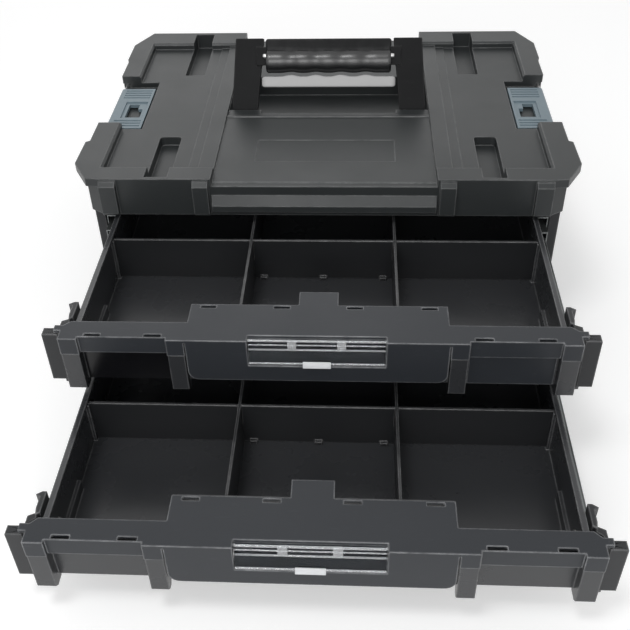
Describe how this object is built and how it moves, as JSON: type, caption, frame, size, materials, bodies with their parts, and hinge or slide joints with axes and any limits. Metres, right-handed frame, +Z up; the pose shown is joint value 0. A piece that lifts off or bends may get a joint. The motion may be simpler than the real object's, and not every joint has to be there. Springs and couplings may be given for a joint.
{
  "type": "stackable two-drawer tool chest",
  "caption": "Low stackable tool chest with two full-extension drawers on ball slides, a folding top handle, side latches and a recessed lid.",
  "frame": {"origin": "centre of the flat stacking pan under the housing", "axes": "+X right, +Y back, +Z up; the drawer fronts face -Y"},
  "size_m": [0.44, 0.6161, 0.2282],
  "materials": {
    "shell_plastic": "satin, fine moulded texture",
    "cover_plastic": "satin, fine moulded texture",
    "screw_steel": "zinc plated",
    "pin_steel": "plain",
    "handle_plastic": "matte",
    "grip_rubber": "satin rubber",
    "insert_plastic": "satin",
    "latch_plastic": "satin",
    "tray_plastic": "satin",
    "divider_plastic": "satin",
    "front_plastic": "satin",
    "flap_clear": "clear moulded plastic",
    "lever_plastic": "satin",
    "plate_gloss": "gloss",
    "rail_steel": "zinc plated, rolled",
    "cage_steel": "plain strip"
  },
  "bodies": {
    "root": {"housing_shell": "shell_plastic", "top_cover": "cover_plastic", "cover_screws": "screw_steel", "handle_pins": "pin_steel", "latch_pins": "pin_steel", "upper_rail_fixed_left": "rail_steel", "upper_rail_fixed_right": "rail_steel", "lower_rail_fixed_left": "rail_steel", "lower_rail_fixed_right": "rail_steel"},
    "handle": {"handle_frame": "handle_plastic", "handle_grip": "grip_rubber", "handle_insert": "insert_plastic"},
    "latch_left": {"latch_left": "latch_plastic"},
    "latch_right": {"latch_right": "latch_plastic"},
    "upper_drawer": {"upper_tray": "tray_plastic", "upper_front_cap": "front_plastic", "upper_cross_wall": "divider_plastic", "upper_divider_left": "divider_plastic", "upper_divider_right": "divider_plastic", "upper_lever_pins": "pin_steel", "upper_rail_screws": "screw_steel", "upper_rail_inner_left": "rail_steel", "upper_rail_inner_right": "rail_steel", "upper_plate_left": "plate_gloss", "upper_plate_right": "plate_gloss"},
    "upper_middle_rails": {"upper_rail_middle_left": "rail_steel", "upper_rail_middle_right": "rail_steel"},
    "upper_outer_cages": {"upper_cage_outer_left": "cage_steel", "upper_cage_outer_right": "cage_steel"},
    "upper_inner_cages": {"upper_cage_inner_left": "cage_steel", "upper_cage_inner_right": "cage_steel"},
    "upper_flap": {"upper_label_flap": "flap_clear"},
    "upper_lever_left": {"upper_lever_left": "lever_plastic"},
    "upper_lever_right": {"upper_lever_right": "lever_plastic"},
    "lower_drawer": {"lower_tray": "tray_plastic", "lower_front_cap": "front_plastic", "lower_cross_wall": "divider_plastic", "lower_divider_left": "divider_plastic", "lower_divider_right": "divider_plastic", "lower_lever_pins": "pin_steel", "lower_rail_screws": "screw_steel", "lower_rail_inner_left": "rail_steel", "lower_rail_inner_right": "rail_steel"},
    "lower_middle_rails": {"lower_rail_middle_left": "rail_steel", "lower_rail_middle_right": "rail_steel"},
    "lower_outer_cages": {"lower_cage_outer_left": "cage_steel", "lower_cage_outer_right": "cage_steel"},
    "lower_inner_cages": {"lower_cage_inner_left": "cage_steel", "lower_cage_inner_right": "cage_steel"},
    "lower_flap": {"lower_label_flap": "flap_clear"},
    "lower_lever_left": {"lower_lever_left": "lever_plastic"},
    "lower_lever_right": {"lower_lever_right": "lever_plastic"}
  },
  "joints": [
    {"name": "handle_swing", "type": "hinge", "parent": "root", "child": "handle", "pos_m": [0, -0.008, 0.153], "axis": [1, 0, 0], "range_deg": [-65, 25]},
    {"name": "latch_left_swing", "type": "hinge", "parent": "root", "child": "latch_left", "pos_m": [-0.209, -0.008, 0.158], "axis": [0, -1, 0], "range_deg": [0, 100]},
    {"name": "latch_right_swing", "type": "hinge", "parent": "root", "child": "latch_right", "pos_m": [0.209, -0.008, 0.158], "axis": [0, 1, 0], "range_deg": [0, 100]},
    {"name": "upper_drawer_slide", "type": "slide", "parent": "root", "child": "upper_drawer", "axis": [0, -1, 0], "range_m": [-0.16, 0.14]},
    {"name": "upper_middle_rails_slide", "type": "slide", "parent": "root", "child": "upper_middle_rails", "axis": [0, -1, 0], "range_m": [-0.0801, 0.0701]},
    {"name": "upper_outer_cages_slide", "type": "slide", "parent": "root", "child": "upper_outer_cages", "axis": [0, -1, 0], "range_m": [-0.0401, 0.0351]},
    {"name": "upper_inner_cages_slide", "type": "slide", "parent": "root", "child": "upper_inner_cages", "axis": [0, -1, 0], "range_m": [-0.1201, 0.1051]},
    {"name": "upper_flap_swing", "type": "hinge", "parent": "upper_drawer", "child": "upper_flap", "pos_m": [0, -0.312, 0.1273], "axis": [-1, 0, 0], "range_deg": [0, 110]},
    {"name": "upper_lever_left_press", "type": "hinge", "parent": "upper_drawer", "child": "upper_lever_left", "pos_m": [-0.1965, -0.304, 0.1035], "axis": [0, 0, -1], "range_deg": [0, 4], "stiffness_Nm_per_rad": 0.3, "springref_deg": -2.86},
    {"name": "upper_lever_right_press", "type": "hinge", "parent": "upper_drawer", "child": "upper_lever_right", "pos_m": [0.1965, -0.304, 0.1035], "axis": [0, 0, 1], "range_deg": [0, 4], "stiffness_Nm_per_rad": 0.3, "springref_deg": -2.86},
    {"name": "lower_drawer_slide", "type": "slide", "parent": "root", "child": "lower_drawer", "axis": [0, -1, 0], "range_m": [-0.298, 0.002]},
    {"name": "lower_middle_rails_slide", "type": "slide", "parent": "root", "child": "lower_middle_rails", "axis": [0, -1, 0], "range_m": [-0.1491, 0.0011]},
    {"name": "lower_outer_cages_slide", "type": "slide", "parent": "root", "child": "lower_outer_cages", "axis": [0, -1, 0], "range_m": [-0.0746, 0.0006]},
    {"name": "lower_inner_cages_slide", "type": "slide", "parent": "root", "child": "lower_inner_cages", "axis": [0, -1, 0], "range_m": [-0.2236, 0.0016]},
    {"name": "lower_flap_swing", "type": "hinge", "parent": "lower_drawer", "child": "lower_flap", "pos_m": [0, -0.45, 0.0678], "axis": [-1, 0, 0], "range_deg": [0, 110]},
    {"name": "lower_lever_left_press", "type": "hinge", "parent": "lower_drawer", "child": "lower_lever_left", "pos_m": [-0.1965, -0.442, 0.044], "axis": [0, 0, -1], "range_deg": [0, 4], "stiffness_Nm_per_rad": 0.3, "springref_deg": -2.86},
    {"name": "lower_lever_right_press", "type": "hinge", "parent": "lower_drawer", "child": "lower_lever_right", "pos_m": [0.1965, -0.442, 0.044], "axis": [0, 0, 1], "range_deg": [0, 4], "stiffness_Nm_per_rad": 0.3, "springref_deg": -2.86}
  ],
  "couplings": [
    {"joint": "upper_middle_rails_slide", "follows": "upper_drawer_slide", "ratio": 0.5},
    {"joint": "upper_outer_cages_slide", "follows": "upper_drawer_slide", "ratio": 0.25},
    {"joint": "upper_inner_cages_slide", "follows": "upper_drawer_slide", "ratio": 0.75},
    {"joint": "lower_middle_rails_slide", "follows": "lower_drawer_slide", "ratio": 0.5},
    {"joint": "lower_outer_cages_slide", "follows": "lower_drawer_slide", "ratio": 0.25},
    {"joint": "lower_inner_cages_slide", "follows": "lower_drawer_slide", "ratio": 0.75}
  ]
}
